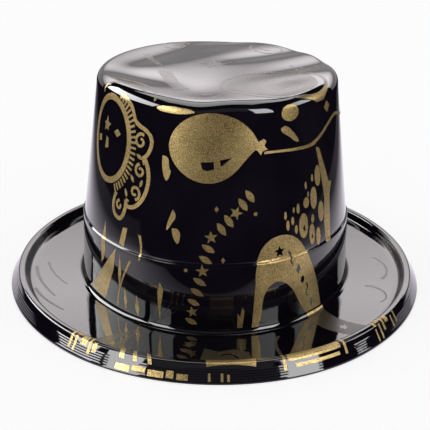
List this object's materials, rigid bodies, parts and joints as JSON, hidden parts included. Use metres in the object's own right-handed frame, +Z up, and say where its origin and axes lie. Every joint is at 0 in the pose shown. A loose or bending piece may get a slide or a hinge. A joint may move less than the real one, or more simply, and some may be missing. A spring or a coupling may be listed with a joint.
{
  "type": "party top hat",
  "caption": "Party top hat formed from one glossy black plastic sheet, with a stepped crown, a rolled brim rim and stamped gold foil motifs.",
  "frame": {"origin": "on the table, under the middle of the hat", "axes": "+Z up through the crown, -Y towards the front, +X to the right as the front is seen"},
  "size_m": [0.266, 0.291, 0.1365],
  "materials": {
    "black_plastic": "high gloss",
    "gold_foil": "satin foil under the sheet's gloss"
  },
  "bodies": {
    "root": {"foil_arch_banner": "gold_foil", "foil_balloon_back": "gold_foil", "foil_balloon_front": "gold_foil", "foil_brim_arcs_left": "gold_foil", "foil_brim_arcs_right": "gold_foil", "foil_brim_back_fan": "gold_foil", "foil_brim_back_garlands": "gold_foil", "foil_brim_fan": "gold_foil", "foil_brim_garland": "gold_foil", "foil_brim_gift": "gold_foil", "foil_brim_ribbon": "gold_foil", "foil_brim_slip": "gold_foil", "foil_bubbles_back": "gold_foil", "foil_bubbles_front": "gold_foil", "foil_confetti_back": "gold_foil", "foil_confetti_front": "gold_foil", "foil_frame_confetti": "gold_foil", "foil_frame_scrolls": "gold_foil", "foil_garland_back": "gold_foil", "foil_garland_lower": "gold_foil", "foil_garland_middle": "gold_foil", "foil_garland_upper": "gold_foil", "foil_rays_back": "gold_foil", "foil_rays_front": "gold_foil", "foil_rim_back": "gold_foil", "foil_rim_block_left": "gold_foil", "foil_rim_block_right": "gold_foil", "foil_rim_front_right": "gold_foil", "foil_rim_lip": "gold_foil", "foil_round_frame": "gold_foil", "foil_slivers_back": "gold_foil", "foil_slivers_front": "gold_foil", "foil_spray": "gold_foil", "foil_string_back": "gold_foil", "foil_string_front": "gold_foil", "foil_top_arcs": "gold_foil", "foil_top_burst": "gold_foil", "foil_top_crescent": "gold_foil", "foil_top_curls": "gold_foil", "foil_top_disc": "gold_foil", "foil_top_dots": "gold_foil", "foil_top_ring": "gold_foil", "foil_top_shards": "gold_foil", "hat_shell": "black_plastic"}
  },
  "joints": []
}
